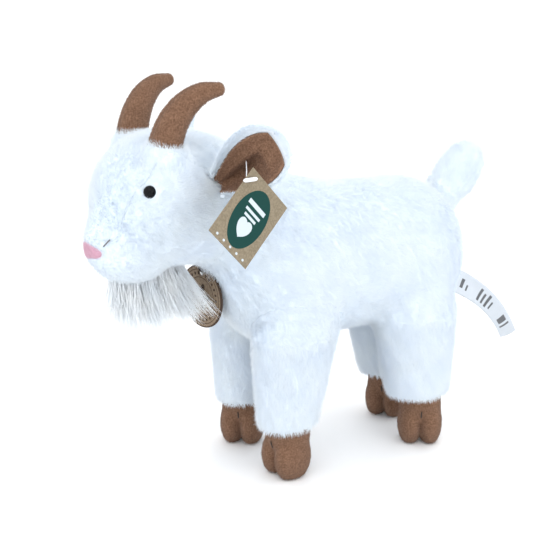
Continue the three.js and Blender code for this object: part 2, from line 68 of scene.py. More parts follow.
# ---- distance fields: negative inside, in millimetres ----
def ellipsoid(p, centre, radii, pitch=0.0):
    q = p - np.array(centre, float)
    if pitch:
        c, s = math.cos(math.radians(pitch)), math.sin(math.radians(pitch))
        q = np.stack([q[..., 0], q[..., 1] * c + q[..., 2] * s, -q[..., 1] * s + q[..., 2] * c], -1)
    r = np.array(radii, float)
    k0 = np.linalg.norm(q / r, axis=-1)
    k1 = np.linalg.norm(q / (r * r), axis=-1)
    return k0 * (k0 - 1) / np.maximum(k1, 1e-9)


def round_cone(p, a, b, ra, rb, squash=1.0):
    k = np.array([1 / squash, 1, 1])
    a, b = np.array(a, float), np.array(b, float)
    q, axis = (p - a) * k, (b - a) * k
    h = np.clip((q @ axis) / (axis @ axis), 0, 1)
    return (np.linalg.norm(q - h[..., None] * axis, axis=-1) - (ra + (rb - ra) * h)) * min(squash, 1)


def join(a, b, k):
    h = np.clip(0.5 + 0.5 * (b - a) / k, 0, 1)
    return b + (a - b) * h - k * h * (1 - h)


LEGS = {
    "front_left": dict(top=(28, -47, 104), foot=(28.5, -54, 34), wide=(21, 30), narrow=(16, 19)),
    "front_right": dict(top=(-28, -52, 104), foot=(-28.5, -58, 34), wide=(21, 30), narrow=(16, 19)),
    "rear_left": dict(top=(26, 45, 104), foot=(26, 50, 38), wide=(22, 31), narrow=(18, 22.5)),
    "rear_right": dict(top=(-26, 49, 104), foot=(-25, 56, 36), wide=(21, 29), narrow=(16, 19)),
}
HOOVES = {
    "front_left": dict(at=(30, -54.5), yaw=12),
    "front_right": dict(at=(-31, -58), yaw=50),
    "rear_left": dict(at=(26, 53), yaw=60),
    "rear_right": dict(at=(-25, 59), yaw=38),
}
HORN = [(28, -133.5, 214), (29, -131.8, 224), (31, -128, 234.5), (34, -121.5, 244), (37, -113, 250.2),
        (39.5, -103.8, 252.3)]
HORN_RADII = [9.8, 9.5, 8.7, 7.5, 5.9, 3.9]
HEM_ROUND = 8.0
HEM_DROP = 4.0
SLEEVE_TOP = 118
CLOTH_THICK = 2.0
FELT_THICK = 1.4
FILLING_GAP = 3.4
STITCH_RADIUS = 0.45


def torso_field(p):
    d = round_cone(p, (0, -40, 134), (0, 42, 134), 47, 46.5, 0.92)
    d = join(d, ellipsoid(p, (0, -48, 132), (42, 40, 47)), 10)
    d = join(d, ellipsoid(p, (0, 46, 134), (42, 40, 48)), 10)
    d = join(d, ellipsoid(p, (0, -2, 150), (36, 84, 33.5)), 10)
    return join(d, round_cone(p, (0, -96, 184), (0, -44, 146), 33, 42, 0.92), 16)


def leg_field(p, leg):
    """a leg's sleeve, which narrows again where it runs up into the body"""
    top, foot = np.array(leg["top"], float), np.array(leg["foot"], float)
    t = np.clip((p[..., 2] - top[2]) / (foot[2] - top[2]), -0.35, 1)
    centre = top[:2] + (foot[:2] - top[:2]) * t[..., None]
    radii = np.array(leg["wide"]) + (np.array(leg["narrow"]) - np.array(leg["wide"])) * t[..., None]
    radii = radii * (1 - 0.42 * np.clip((p[..., 2] - top[2] + 8) / 40, 0, 1))[..., None]
    q = (p[..., :2] - centre) / radii
    side = (np.linalg.norm(q, axis=-1) - 1) * radii.min(-1)
    cap = np.maximum(p[..., 2] - (top[2] + 34), foot[2] - HEM_DROP - p[..., 2])
    a, b = side + HEM_ROUND, cap + HEM_ROUND
    return np.minimum(np.maximum(a, b), 0) + np.hypot(np.maximum(a, 0), np.maximum(b, 0)) - HEM_ROUND


def head_field(p):
    d = ellipsoid(p, (0, -121, 186.5), (42.5, 45, 39))
    d = join(d, round_cone(p, (0, -133, 179), (0, -149, 163), 35, 22.5), 12)
    d = join(d, ellipsoid(p, (0, -150, 158), (22, 21, 19)), 8)
    d = join(d, ellipsoid(p, (0, -143, 153), (17, 18, 13.5)), 8)
    d = join(d, ellipsoid(p, (0, -113, 175), (39, 34, 25)), 8)
    for side in (1, -1):
        d = join(d, round_cone(p, (24 * side, -128, 196), (28 * side, -132.5, 213), 18, 12.5), 8)
    return d


def tail_field(p):
    stem = round_cone(p, (0, 78, 166), (0, 102, 193), 12.5, 11.5)
    return join(stem, ellipsoid(p, (0, 96, 184), (12, 14, 18), -30), 5)


def ripple(p):
    """the slow lumps of stuffed fabric"""
    x, y, z = p[..., 0], p[..., 1], p[..., 2]
    return (0.45 * np.sin(x * 0.21 + 1.3) * np.sin(y * 0.17 + 0.4) * np.sin(z * 0.19)
            + 0.25 * np.sin(x * 0.43 - y * 0.11) * np.sin(y * 0.39 + z * 0.27 + 2.0))


def goat_field(p):
    d = join(torso_field(p), head_field(p), 13)
    d = join(d, tail_field(p), 5)
    for leg in LEGS.values():
        d = join(d, leg_field(p, leg), 7)
    return d + ripple(p)


# ---- a surface around the zero of a field ----
def surface(field, low, high, step):
    """quads around the zero of a field between two corners, with the points put on the zero"""
    low, high = np.array(low, float), np.array(high, float)
    counts = np.ceil((high - low) / step).astype(int) + 1
    axes = [low[k] + step * np.arange(counts[k]) for k in range(3)]
    f = field(np.stack(np.meshgrid(*axes, indexing="ij"), -1))
    inside = f < 0
    cells = tuple(counts - 1)

    def corner(offset):
        return f[tuple(slice(o, o + n) for o, n in zip(offset, cells))]

    total = np.zeros(cells + (3,))
    crossings = np.zeros(cells)
    for ax in range(3):
        for near in np.ndindex(2, 2, 2):
            if near[ax]:
                continue
            a, b = corner(near), corner([o + (k == ax) for k, o in enumerate(near)])
            cut = (a < 0) != (b < 0)
            spot = np.broadcast_to(np.array(near, float), cells + (3,)).copy()
            spot[..., ax] += np.where(cut, a / np.where(cut, a - b, 1), 0)
            total += spot * cut[..., None]
            crossings += cut
    used = crossings > 0
    ids = -np.ones(cells, int)
    ids[used] = np.arange(used.sum())
    cell_at = np.stack(np.nonzero(used), -1).astype(float)
    verts = (cell_at + total[used] / crossings[used][:, None]) * step + low
    quads = []
    for ax in range(3):
        o1, o2 = [k for k in range(3) if k != ax]
        a, b = np.delete(inside, -1, ax), np.delete(inside, 0, ax)
        at = np.argwhere(a != b)
        across = at[:, [o1, o2]]
        at = at[((across >= 1) & (across < counts[[o1, o2]] - 1)).all(1)]
        corners = []
        for d1, d2 in ((1, 1), (0, 1), (0, 0), (1, 0)):
            c = at.copy()
            c[:, o1] -= d1
            c[:, o2] -= d2
            corners.append(ids[tuple(c.T)])
        q = np.stack(corners, 1)
        right_handed = (ax, o1, o2) in ((0, 1, 2), (2, 0, 1))
        flip = ~a[tuple(at.T)] if right_handed else a[tuple(at.T)]
        q[flip] = q[flip][:, ::-1]
        quads.append(q)
    quads = np.concatenate(quads)
    return onto(field, verts, rounds=2), quads


def onto(field, p, height=0.0, rounds=4):
    """moves points to where the field has the given value"""
    for _ in range(rounds):
        p = p - (field(p) - height)[:, None] * gradient(field, p)
    return p


def gradient(field, p, h=0.4):
    g = np.stack([field(p + h * e) - field(p - h * e) for e in np.eye(3)], -1)
    return unit(g)


def part_of(verts, faces, mask):
    """some of the faces, and the points that they use"""
    chosen = faces[mask]
    used = np.unique(chosen)
    again = -np.ones(len(verts), int)
    again[used] = np.arange(len(used))
    return again[chosen], used


def edges_of(faces):
    return np.concatenate([faces[:, [k, (k + 1) % faces.shape[1]]] for k in range(faces.shape[1])])


def soften_borders(verts, faces, labels, field, rounds=12):
    """the steps along each seam are smoothed, and the points are put back on the surface"""
    edges = edges_of(faces)
    face_of = np.tile(np.arange(len(faces)), faces.shape[1])
    key = np.sort(edges, 1)
    order = np.lexsort((key[:, 1], key[:, 0]))
    key, lab = key[order], labels[face_of[order]]
    same = (key[1:] == key[:-1]).all(1)
    border = key[:-1][same & (lab[1:] != lab[:-1])]
    count = np.bincount(border.ravel(), minlength=len(verts))
    line = count == 2
    for _ in range(rounds):
        total = np.zeros_like(verts)
        np.add.at(total, border[:, 0], verts[border[:, 1]])
        np.add.at(total, border[:, 1], verts[border[:, 0]])
        verts[line] = 0.5 * verts[line] + 0.5 * total[line] / 2
        verts[line] -= field(verts[line])[:, None] * gradient(field, verts[line])
    return verts


def ring_faces(rows, count, closed=False):
    """quads between neighbouring rings of count points; closed joins the last ring to the first"""
    i, j = np.meshgrid(np.arange(rows if closed else rows - 1), np.arange(count), indexing="ij")
    k, above = (j + 1) % count, (i + 1) % rows
    corners = [i * count + j, i * count + k, above * count + k, above * count + j]
    return np.stack(corners, -1).reshape(-1, 4)


def shell(verts, faces, normals, thickness):
    """a closed layer: the outer faces, the same faces set inwards, and the rim between them"""
    n = len(verts)
    edges = edges_of(faces)
    key = np.sort(edges, 1)
    _, first, counts = np.unique(key[:, 0] * (n + 1) + key[:, 1], return_index=True, return_counts=True)
    rim = edges[first[counts == 1]]
    sides = np.stack([rim[:, 1], rim[:, 0], rim[:, 0] + n, rim[:, 1] + n], 1)
    every = [list(f) for f in faces] + [list(f) for f in faces[:, ::-1] + n] + [list(f) for f in sides]
    return np.concatenate([verts, verts - normals * thickness]), every


def mesh_piece(name, verts, faces, material, body=None, stands_for=(), shading=None):
    """a smooth mesh from points in millimetres; shading gives each face corner its own normal"""
    mesh = bpy.data.meshes.new(name)
    sizes = np.array([len(f) for f in faces])
    corners = np.concatenate([np.asarray(f) for f in faces]) if isinstance(faces, list) else faces.ravel()
    mesh.vertices.add(len(verts))
    mesh.vertices.foreach_set("co", metres(verts).astype(np.float32).ravel())
    mesh.loops.add(len(corners))
    mesh.loops.foreach_set("vertex_index", corners.astype(np.int32))
    mesh.polygons.add(len(sizes))
    mesh.polygons.foreach_set("loop_start", (np.cumsum(sizes) - sizes).astype(np.int32))
    mesh.update(calc_edges=True)
    mesh.polygons.foreach_set("use_smooth", [True] * len(mesh.polygons))
    if shading is not None:
        mesh.normals_split_custom_set(shading.astype(np.float32))
    mesh.materials.append(material)
    obj = bpy.data.objects.new(name, mesh)
    bpy.context.scene.collection.objects.link(obj)
    if body:
        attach(obj, body)
    if stands_for:
        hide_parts(*stands_for)
    return obj


# ---- materials ----
def new_material(name):
    material = bpy.data.materials.new(name)
    material.use_nodes = True
    nodes, links = material.node_tree.nodes, material.node_tree.links
    return material, nodes, links, nodes["Principled BSDF"]


def noise(nodes, links, coords, scale, detail=3.0):
    texture = nodes.new("ShaderNodeTexNoise")
    texture.inputs["Scale"].default_value = scale
    texture.inputs["Detail"].default_value = detail
    links.new(coords, texture.inputs["Vector"])
    return texture.outputs["Fac"]


def ramp(nodes, links, value, stops):
    node = nodes.new("ShaderNodeValToRGB")
    links.new(value, node.inputs["Fac"])
    elements = node.color_ramp.elements
    while len(elements) < len(stops):
        elements.new(0.5)
    for element, (at, colour) in zip(elements, stops):
        element.position = at
        element.color = (*colour, 1)
    return node.outputs["Color"]


def fabric(name, dark, light, scale, bump, sheen=0.2, roughness=0.95, spread=(0.35, 0.65)):
    material, nodes, links, shader = new_material(name)
    coords = nodes.new("ShaderNodeTexCoord").outputs["Object"]
    grain = noise(nodes, links, coords, scale)
    links.new(ramp(nodes, links, grain, [(spread[0], dark), (spread[1], light)]), shader.inputs["Base Color"])
    shader.inputs["Roughness"].default_value = roughness
    shader.inputs["Specular IOR Level"].default_value = 0.1
    shader.inputs["Sheen Weight"].default_value = sheen
    shader.inputs["Sheen Roughness"].default_value = 0.6
    if bump:
        node = nodes.new("ShaderNodeBump")
        node.inputs["Strength"].default_value = bump
        node.inputs["Distance"].default_value = 0.0006
        links.new(grain, node.inputs["Height"])
        links.new(node.outputs["Normal"], shader.inputs["Normal"])
    return material


def plain(name, colour, roughness, coat=0.0, specular=0.5):
    material, nodes, links, shader = new_material(name)
    coords = nodes.new("ShaderNodeTexCoord").outputs["Object"]
    grain = noise(nodes, links, coords, 300)
    lighter = tuple(min(1, c * 1.12 + 0.002) for c in colour)
    links.new(ramp(nodes, links, grain, [(0.3, colour), (0.7, lighter)]), shader.inputs["Base Color"])
    shader.inputs["Roughness"].default_value = roughness
    shader.inputs["Coat Weight"].default_value = coat
    shader.inputs["Coat Roughness"].default_value = 0.05
    shader.inputs["Specular IOR Level"].default_value = specular
    return material


FUR = fabric("white_fur", (0.80, 0.885, 0.985), (0.86, 0.935, 0.995), 45, 0)
SKIN = fabric("white_backing", (0.77, 0.86, 0.95), (0.83, 0.90, 0.97), 400, 0.4)
HAIR = fabric("beard_hair", (0.90, 0.95, 0.995), (0.95, 0.98, 1.0), 60, 0)
BROWN = fabric("brown_felt", (0.145, 0.076, 0.045), (0.285, 0.163, 0.104), 1000, 0.6, 0.1, spread=(0.3, 0.7))
FIBRE = fabric("fibre_filling", (0.70, 0.69, 0.64), (0.85, 0.84, 0.80), 300, 0.8)
PINK = fabric("pink_velour", (0.78, 0.42, 0.56), (0.86, 0.58, 0.70), 1500, 0.4)
THREAD = fabric("brown_thread", (0.012, 0.008, 0.006), (0.05, 0.035, 0.025), 2500, 0.5)
GREY_THREAD = fabric("grey_thread", (0.10, 0.10, 0.12), (0.22, 0.21, 0.23), 2500, 0.5)
EYE = plain("black_eye", (0.002, 0.002, 0.003), 0.05, specular=0.15)
WASHER = plain("washer", (0.62, 0.62, 0.60), 0.5)
NYLON = plain("nylon", (0.80, 0.82, 0.86), 0.35)


# ---- fur: one thin closed spike per tuft ----
ROOT_DEPTH = 0.35
FUR_LENGTH = 4.3
FUR_WIDTH = 0.21
FUR_LIFT = 0.72
FUR_JITTER = 0.45
FUR_DENSITY = 2.2
MOST_TUFTS = 48000
NAP_LENGTH = 1.0
NAP_WIDTH = 0.12
NAP_DENSITY = 5.0
EYE_AT = (35.9, -145.4, 196.5)
EYE_CLEAR = 3.3


def tufts(roots, normals, flow, length, width, lift, jitter, rng):
    n = len(roots)
    tangent = unit(flow - (flow * normals).sum(1, keepdims=True) * normals + 1e-6)
    sideways = np.cross(normals, tangent)
    tangent = unit(tangent + jitter * rng.normal(size=(n, 1)) * sideways)
    angle = lift + 0.13 * rng.normal(size=(n, 1))
    way = unit(normals * np.sin(angle) + tangent * np.cos(angle))
    size = (length * (0.72 + 0.5 * rng.random(n)))[:, None]
    side = unit(np.cross(way, normals) + 1e-6)
    up = np.cross(side, way)
    base = roots - normals * ROOT_DEPTH
    # the section is a low roof, so that its sloping sides face out of the coat
    corners = [base + width * (s * side + h * up) for s, h in ((0, 0.5), (1, -0.2), (-1, -0.2))]
    tip = roots + way * size
    verts = np.stack([*corners, tip], 1).reshape(-1, 3)
    base = np.arange(n)[:, None] * 4
    faces = np.concatenate([base + [0, 1, 3], base + [1, 2, 3], base + [2, 0, 3], base + [2, 1, 0]])
    shading = np.repeat(unit(normals + 0.08 * way + 0.06 * rng.normal(size=(n, 3))), 3, axis=0)
    under = np.repeat(unit(way - up), 3, axis=0)
    return verts, faces, np.concatenate([shading, under, shading, shading])


def scatter(verts, quads, normals, density, rng):
    """random points on the faces, evenly by area"""
    tris = np.concatenate([quads[:, [0, 1, 2]], quads[:, [0, 2, 3]]]) if quads.shape[1] == 4 else quads
    a, b, c = verts[tris[:, 0]], verts[tris[:, 1]], verts[tris[:, 2]]
    areas = np.linalg.norm(np.cross(b - a, c - a), axis=1) / 2
    n = int(areas.sum() * density)
    pick = rng.choice(len(tris), n, p=areas / areas.sum())
    u, v = rng.random((2, n, 1))
    over = u + v > 1
    u, v = np.where(over, 1 - u, u), np.where(over, 1 - v, v)
    w = 1 - u - v
    t = tris[pick]
    points = verts[t[:, 0]] * w + verts[t[:, 1]] * u + verts[t[:, 2]] * v
    return points, unit(normals[t[:, 0]] * w + normals[t[:, 1]] * u + normals[t[:, 2]] * v)


def wander(p):
    """a slow swirl that keeps the pile from lying in straight lines"""
    x, y, z = p[:, 0], p[:, 1], p[:, 2]
    waves = [np.sin(y * 0.13 + z * 0.07), np.sin(z * 0.11 + x * 0.15 + 1), np.sin(x * 0.12 - y * 0.09 + 2)]
    return 0.22 * np.stack(waves, 1)


def felt_nap(name, points, faces, normals, way, body, rng, above=-math.inf):
    """the short nap of the brown felt, on the faces whose roots stand higher than above"""
    roots, ups = scatter(points, faces, normals, NAP_DENSITY, rng)
    keep = roots[:, 2] > above
    roots, ups = roots[keep], ups[keep]
    flow = np.tile(way, (len(roots), 1)) + wander(roots)
    v, f, shading = tufts(roots, ups, flow, np.full(len(roots), NAP_LENGTH), NAP_WIDTH, 0.8, 1.2, rng)
    mesh_piece(name, v, f, BROWN, body, shading=shading)


# ---- the goat's skin ----
CHIN, GUSSET, HEAD_L, HEAD_R, NOSE, TAIL, BELLY, BODY_L, BODY_R, DROP = range(10)
LEG_AT = 20


def skin_labels(c, normals):
    """which sewn panel a point on the surface belongs to"""
    x, y, z = c.T
    labels = np.where(x > 0, BODY_L, BODY_R)
    labels[(np.abs(x) < 17) & (z < 112) & (y > -80)] = BELLY
    trunk = torso_field(c)
    to_legs = np.stack([leg_field(c, leg) for leg in LEGS.values()])
    nearest = to_legs.argmin(0)
    on_leg = (to_legs.min(0) < trunk) & (z < SLEEVE_TOP)
    feet = np.array([leg["foot"][2] for leg in LEGS.values()])
    labels[on_leg] = LEG_AT + nearest[on_leg]
    labels[on_leg & (z < feet[nearest]) & (normals[:, 2] < -0.5)] = DROP
    tail = (y > 70) & ((y - 80) * 0.65 + (z - 167) * 0.76 > 5) & (z > 150)
    labels[tail] = TAIL
    head = -(y + 93) * 0.9 + (z - 172) * 0.2 > 0
    labels[head] = np.where(x > 0, HEAD_L, HEAD_R)[head]
    gusset = head & (z > 166) & (np.abs(x) < 20 + 0.35 * (z - 166)) & (y < -96)
    labels[gusset] = GUSSET
    chin = head & (np.abs(x) < 13) & (z < 150) & (y > -160) & (y < -108)
    labels[chin] = CHIN
    nose = head & (y < -160) & ((x / 15) ** 2 + ((z - 158.3) / 4.3) ** 2 < 1)
    labels[nose] = NOSE
    for side in (1, -1):
        root = round_cone(c, (28 * side, -133.5, 208), (28.5 * side, -133, 226), 8.4, 8.4)
        labels[(root < 0) & head] = DROP
    return labels


def to_nape(p):
    """0 on the face, rising to 1 at the neck seam"""
    return np.clip((p[:, 1] + 120) / 24, 0, 1)


def flow_at(p, label):
    """the way the pile lies"""
    x, y, z = p.T
    flow = np.stack([0.05 * x, np.full(len(p), 0.9), np.full(len(p), -0.55)], 1)
    if label in (CHIN, GUSSET, HEAD_L, HEAD_R):
        swept = unit(p - np.array([0, -175, 165])) + np.array([0, 0.35, -0.25])
        nape = to_nape(p)[:, None]
        flow = swept * (1 - nape) + flow * nape
        for side in (1, -1):
            away = np.hypot(x - 28 * side, y + 133)
            close = np.clip((17 - away) / 4, 0, 1) * np.clip((z - 203) / 4, 0, 1)
            flow = flow * (1 - close[:, None]) + np.array([0, 0.05, 1.0]) * close[:, None]
    if label >= LEG_AT:
        down = np.clip((116 - z) / 34, 0, 1)[:, None]
        flow = flow * (1 - down) + np.array([0.0, 0.12, -1.0]) * down
    if label == TAIL:
        flow = np.tile([0.0, 0.65, 0.76], (len(p), 1))
    if label == BELLY:
        flow = np.stack([0.02 * x, np.full(len(p), 1.0), np.full(len(p), -0.3)], 1)
    return flow + wander(p)


def bend(obj, region):
    """bakes the placement of a region's skin into its points, the same way for every region"""
    if region == "body":
        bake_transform(obj)
    elif region == "tail":
        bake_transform(obj)
    else:
        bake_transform(obj)


def build_skin():
    verts, quads = surface(goat_field, (-56, -184, 24), (56, 120, 236), 2.0)
    centres = verts[quads].mean(1)
    labels = skin_labels(centres, gradient(goat_field, centres))
    verts = soften_borders(verts, quads, labels, goat_field)
    normals = gradient(goat_field, verts)
    panels = {
        GUSSET: ("forehead_gusset", "head"),
        CHIN: ("chin_panel", "head"),
        HEAD_L: ("head_left_panel", "head"),
        HEAD_R: ("head_right_panel", "head"),
        TAIL: ("tail_cover", "tail"),
        BELLY: ("belly_panel", "body"),
        BODY_L: ("body_left_panel", "body"),
        BODY_R: ("body_right_panel", "body"),
        NOSE: ("nose_patch", "head"),
    }
    for k, name in enumerate(LEGS):
        panels[LEG_AT + k] = (name + "_leg_sleeve", name)
    for label, (name, region) in panels.items():
        faces, used = part_of(verts, quads, labels == label)
        v, n = verts[used], normals[used]
        if label == NOSE:
            v = v + n * 0.2
        outer, every = shell(v, faces, n, CLOTH_THICK)
        material, slot = (PINK, "pink_velour") if label == NOSE else (SKIN, "white_plush")
        rides = "head" if region == "head" else None
        skin = mesh_piece(name + "_cloth", outer, every, material, rides, [name])
        if rides is None:
            bend(skin, region)
        if label == NOSE:
            nap(name, v, faces, n)
        else:
            grow(name, v, faces, n, label, region)


def nap(name, verts, faces, normals):
    """the nose patch's short velour"""
    rng = np.random.default_rng(31)
    roots, ups = scatter(verts, faces, normals, 9.0, rng)
    flow = np.tile([0.0, 0.1, -1.0], (len(roots), 1))
    v, f, shading = tufts(roots, ups, flow, np.full(len(roots), 1.5), 0.1, 0.9, 0.6, rng)
    mesh_piece(name + "_nap", v, f, PINK, "head", shading=shading)


def grow(name, verts, faces, normals, label, region):
    """a panel's fur: short on the muzzle and round the eyes"""
    rng = np.random.default_rng(100 + label)
    a, b, c, d = (verts[faces[:, k]] for k in range(4))
    area = np.linalg.norm(np.cross(c - a, d - b), axis=1).sum() / 2
    roots, ups = scatter(verts, faces, normals, min(FUR_DENSITY, MOST_TUFTS / area), rng)
    length = np.full(len(roots), FUR_LENGTH)
    if region in LEGS:
        length -= 0.5 * np.clip((80 - roots[:, 2]) / 30, 0, 1)
    if region == "head":
        near = np.linalg.norm((roots - np.array([0, -165, 160])) / np.array([22, 16, 16]), axis=1)
        length = 2.6 + 1.2 * np.clip(near - 0.8, 0, 1) + 0.5 * to_nape(roots)
        for side in (1, -1):
            eye = np.linalg.norm(roots - np.array([EYE_AT[0] * side, *EYE_AT[1:]]), axis=1)
            length = np.where(eye < 9, np.minimum(length, 0.9 + 0.42 * eye), length)
            keep = eye > EYE_CLEAR
            roots, ups, length = roots[keep], ups[keep], length[keep]
    v, f, shading = tufts(roots, ups, flow_at(roots, label), length, FUR_WIDTH, FUR_LIFT, FUR_JITTER, rng)
    rides = "head" if region == "head" else None
    fur = mesh_piece(name + "_fur", v, f, FUR, rides, shading=shading)
    if region != "head":
        bend(fur, region)


# ---- hooves ----
def hoof_field(p, hoof):
    yaw = math.radians(hoof["yaw"])
    q = p - np.array([*hoof["at"], 0])
    x = q[..., 0] * math.cos(yaw) + q[..., 1] * math.sin(yaw)
    y = -q[..., 0] * math.sin(yaw) + q[..., 1] * math.cos(yaw)
    q = np.stack([x, y, q[..., 2]], -1)
    lobes = [ellipsoid(q, (6.8 * s, -1.0, 14.0), (8.4, 13.4, 16.6)) for s in (-1, 1)]
    d = join(lobes[0], lobes[1], 1.0)
    ankle = np.maximum(ellipsoid(q, (0, 0.5, 30), (14.2, 14.2, 18)), 12 - q[..., 2])
    d = join(d, ankle, 3.0)
    d = -join(-d, q[..., 2] - 0.15, 2.0)
    return d + 0.12 * np.sin(p[..., 0] * 0.9) * np.sin(p[..., 1] * 0.8 + p[..., 2] * 0.7)


def build_hooves():
    for k, (name, hoof) in enumerate(HOOVES.items()):
        x, y = hoof["at"]
        field = lambda p, hoof=hoof: hoof_field(p, hoof)
        verts, quads = surface(field, (x - 21, y - 21, -2), (x + 21, y + 21, 52), 1.1)
        centres = verts[quads].mean(1)
        top = LEGS[name]["foot"][2] + 4
        labels = np.where(centres[:, 2] < 4.6, 1, 0)
        labels[centres[:, 2] > top] = 2
        verts = soften_borders(verts, quads, labels, field, 6)
        normals = gradient(field, verts)
        body = name + "_leg"
        for label, part in ((0, "hoof_cover"), (1, "hoof_sole")):
            faces, used = part_of(verts, quads, labels == label)
            outer, every = shell(verts[used], faces, normals[used], FELT_THICK)
            node = f"{name}_{part}"
            mesh_piece(node + "_felt", outer, every, BROWN, body, [node])
            rng = np.random.default_rng(300 + 10 * k + label)
            felt_nap(node + "_nap", verts[used], faces, normals[used], [0.0, 0.0, -1.0], body, rng, 1.0)


# ---- horns ----
def spline(points, count):
    """points on a smooth curve through the given ones, evenly spread"""
    p = np.array(points, float)
    ends = np.concatenate([[2 * p[0] - p[1]], p, [2 * p[-1] - p[-2]]])
    out = []
    for t in np.linspace(0, len(p) - 1, count):
        k = min(int(t), len(p) - 2)
        u = t - k
        a, b, c, d = ends[k:k + 4]
        squared, cubed = 2 * a - 5 * b + 4 * c - d, 3 * b - a - 3 * c + d
        out.append(0.5 * (2 * b + (c - a) * u + squared * u * u + cubed * u ** 3))
    return np.array(out)


HORN_ROWS = 44
HORN_SIDES = 48
HORN_FOOT = 212


def horn_grid(side):
    """rings of points along a horn, pinched at its two seams and closed to a rounded tip"""
    line = spline([(x * side, y, z) for x, y, z in HORN], HORN_ROWS)
    radii = np.interp(np.linspace(0, 5, HORN_ROWS), range(6), HORN_RADII)
    ahead = unit(np.gradient(line, axis=0))
    outwards = np.array([1.0, 0, 0]) * side
    across = unit(outwards - ahead * (ahead @ outwards)[:, None])
    over = np.cross(ahead, across)
    tip = line[-1] + ahead[-1] * radii[-1] * 0.9
    spins = np.linspace(0, 2 * math.pi, HORN_SIDES + 1)[:-1]

    def ring(at, i, size):
        return at + (np.cos(spins) * size)[:, None] * across[i] + (np.sin(spins) * size)[:, None] * over[i]

    seam = 1 - 0.07 * np.exp(-((np.abs(np.sin(spins)) - 1) / 0.012) ** 2)
    rows = [ring(line[i], i, radii[i] * seam) for i in range(HORN_ROWS)]
    for t in (0.35, 0.65, 0.85, 0.96):
        size = np.full(HORN_SIDES, radii[-1] * math.sqrt(1 - t * t))
        rows.append(ring(line[-1] + (tip - line[-1]) * t, -1, size))
    return line, np.array(rows), tip


def build_horns():
    for side, hand in ((1, "left"), (-1, "right")):
        line, rows, tip = horn_grid(side)
        n = HORN_SIDES
        verts = np.concatenate([rows.reshape(-1, 3), [tip]])
        faces = np.minimum(ring_faces(len(rows) + 1, n), len(verts) - 1)
        along = np.arange(len(faces)) % n
        panel = np.where((along < n // 4) | (along >= 3 * n // 4), 0, 1)
        a, b, c = verts[faces[:, 0]], verts[faces[:, 1]], verts[faces[:, 2]]
        normal = np.cross(b - a, c - a)
        middle = verts[faces].mean(1)
        nearest = line[np.argmin(np.linalg.norm(middle[:, None] - line[None], axis=2), axis=1)]
        if ((middle - nearest) * normal).sum() < 0:
            faces = faces[:, ::-1]
            normal = -normal
        ups = np.zeros_like(verts)
        for k in range(4):
            np.add.at(ups, faces[:, k], normal)
        ups = unit(ups)
        for label, part in ((0, "outer"), (1, "inner")):
            f, used = part_of(verts, faces, panel == label)
            outer, every = shell(verts[used], f, ups[used], FELT_THICK)
            every = [list(dict.fromkeys(q)) for q in every]
            body, node = hand + "_horn", f"{hand}_horn_{part}_panel"
            mesh_piece(node + "_felt", outer, every, BROWN, body, [node])
            rng = np.random.default_rng(400 + side + 5 * label)
            felt_nap(node + "_nap", verts[used], f, ups[used], [0.0, 0.5, 0.6], body, rng, HORN_FOOT)


# ---- ears ----
EAR = dict(root=(38, -103, 197), along=(0.65, 0.51, 0.55), face=(0.72, -0.68, 0.15), length=48, half=20)


FOLD = dict(depth=9.0, ends=0.72, edge=0.64, soft=0.09)


def ear_point(side, u, v, depth):
    """u runs from root to tip, v from the lower rim to the upper one, depth towards the open face"""
    mirror = np.array([side, 1, 1])
    along = unit(np.array(EAR["along"]))
    face = np.array(EAR["face"])
    face = unit(face - along * (face @ along))
    across = np.cross(face, along)
    half = np.where(u < 0.6, 0.42 + 0.58 * np.sin(np.clip(u / 0.6, 0, 1) * math.pi / 2),
                    np.sqrt(np.clip(1 - ((u - 0.6) / 0.43) ** 2, 0, 1)))
    half = EAR["half"] * half
    curl = 1.75 - 1.05 * u
    radius = half / curl
    angle = (2 * v - 1) * curl
    p = np.array(EAR["root"]) + along * (EAR["length"] * u)[..., None]
    p = p + across * ((radius - depth) * np.sin(angle))[..., None]
    p = p + face * (radius - (radius - depth) * np.cos(angle))[..., None]
    hollow = FOLD["depth"] * np.sin(math.pi * np.clip(u / FOLD["ends"], 0, 1))
    hollow = hollow * smooth_step((FOLD["edge"] - v) / FOLD["soft"])
    p = p - face * (hollow * np.clip(v / 0.57, 0, 1) ** 0.8)[..., None]
    return p * mirror


def smooth_step(t):
    t = np.clip(t, 0, 1)
    return t * t * (3 - 2 * t)


def closed_sheet(front, back):
    """a closed layer between two grids of points"""
    nu, nv = front.shape[:2]
    verts = np.concatenate([front.reshape(-1, 3), back.reshape(-1, 3)])
    n = nu * nv
    quads = grid_quads(nu, nv)
    faces = quads.tolist() + (quads[:, ::-1] + n).tolist()
    at = lambda i, j: i * nv + j
    loop = [at(i, 0) for i in range(nu)] + [at(nu - 1, j) for j in range(1, nv)]
    loop += [at(i, nv - 1) for i in range(nu - 2, -1, -1)] + [at(0, j) for j in range(nv - 2, 0, -1)]
    for k, a in enumerate(loop):
        b = loop[(k + 1) % len(loop)]
        faces.append([b, a, a + n, b + n])
    return verts, faces


def outward(verts, faces):
    """turns all faces round if the closed layer is inside out"""
    total = 0.0
    for f in faces:
        for k in range(1, len(f) - 1):
            total += verts[f[0]] @ np.cross(verts[f[k]], verts[f[k + 1]])
    return faces if total > 0 else [f[::-1] for f in faces]


def grid_normals(points, toward):
    """normals of a grid of points, on the side that toward points to"""
    up = unit(np.cross(np.gradient(points, axis=0), np.gradient(points, axis=1)))
    return up * np.sign((up * toward).sum(-1, keepdims=True))


def grid_quads(nu, nv):
    i, j = np.meshgrid(np.arange(nu - 1), np.arange(nv - 1), indexing="ij")
    a = (i * nv + j).ravel()
    return np.stack([a, a + nv, a + nv + 1, a + 1], 1)


